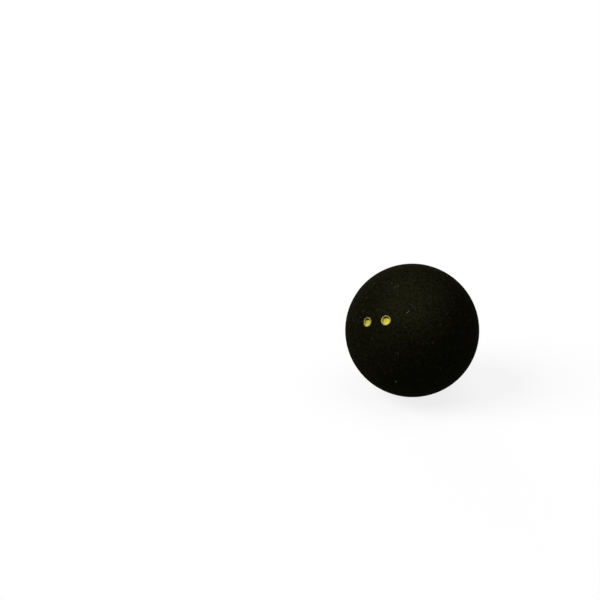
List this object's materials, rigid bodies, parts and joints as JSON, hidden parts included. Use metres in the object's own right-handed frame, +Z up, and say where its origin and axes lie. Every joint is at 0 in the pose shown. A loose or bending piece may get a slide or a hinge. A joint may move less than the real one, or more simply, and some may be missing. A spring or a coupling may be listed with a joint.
{
  "type": "squash ball",
  "caption": "Small hollow black rubber ball for squash: cemented half shells with a buffed matt skin and yellow-painted recessed dots.",
  "frame": {"origin": "centre of the ball", "axes": "+Z up as the ball lies in the picture; -Y is the side that the painted dots look towards, with the pole between them 26.7 degrees above the horizon; +X is to the right of someone who faces the dots"},
  "size_m": [0.04, 0.04, 0.04],
  "materials": {
    "rubber": "matte",
    "cement": "matte",
    "dot_paint": "matte"
  },
  "bodies": {
    "root": {"front_half_shell": "rubber", "rear_half_shell": "rubber", "seam_cement": "cement", "left_dot": "dot_paint", "right_dot": "dot_paint"}
  },
  "joints": []
}
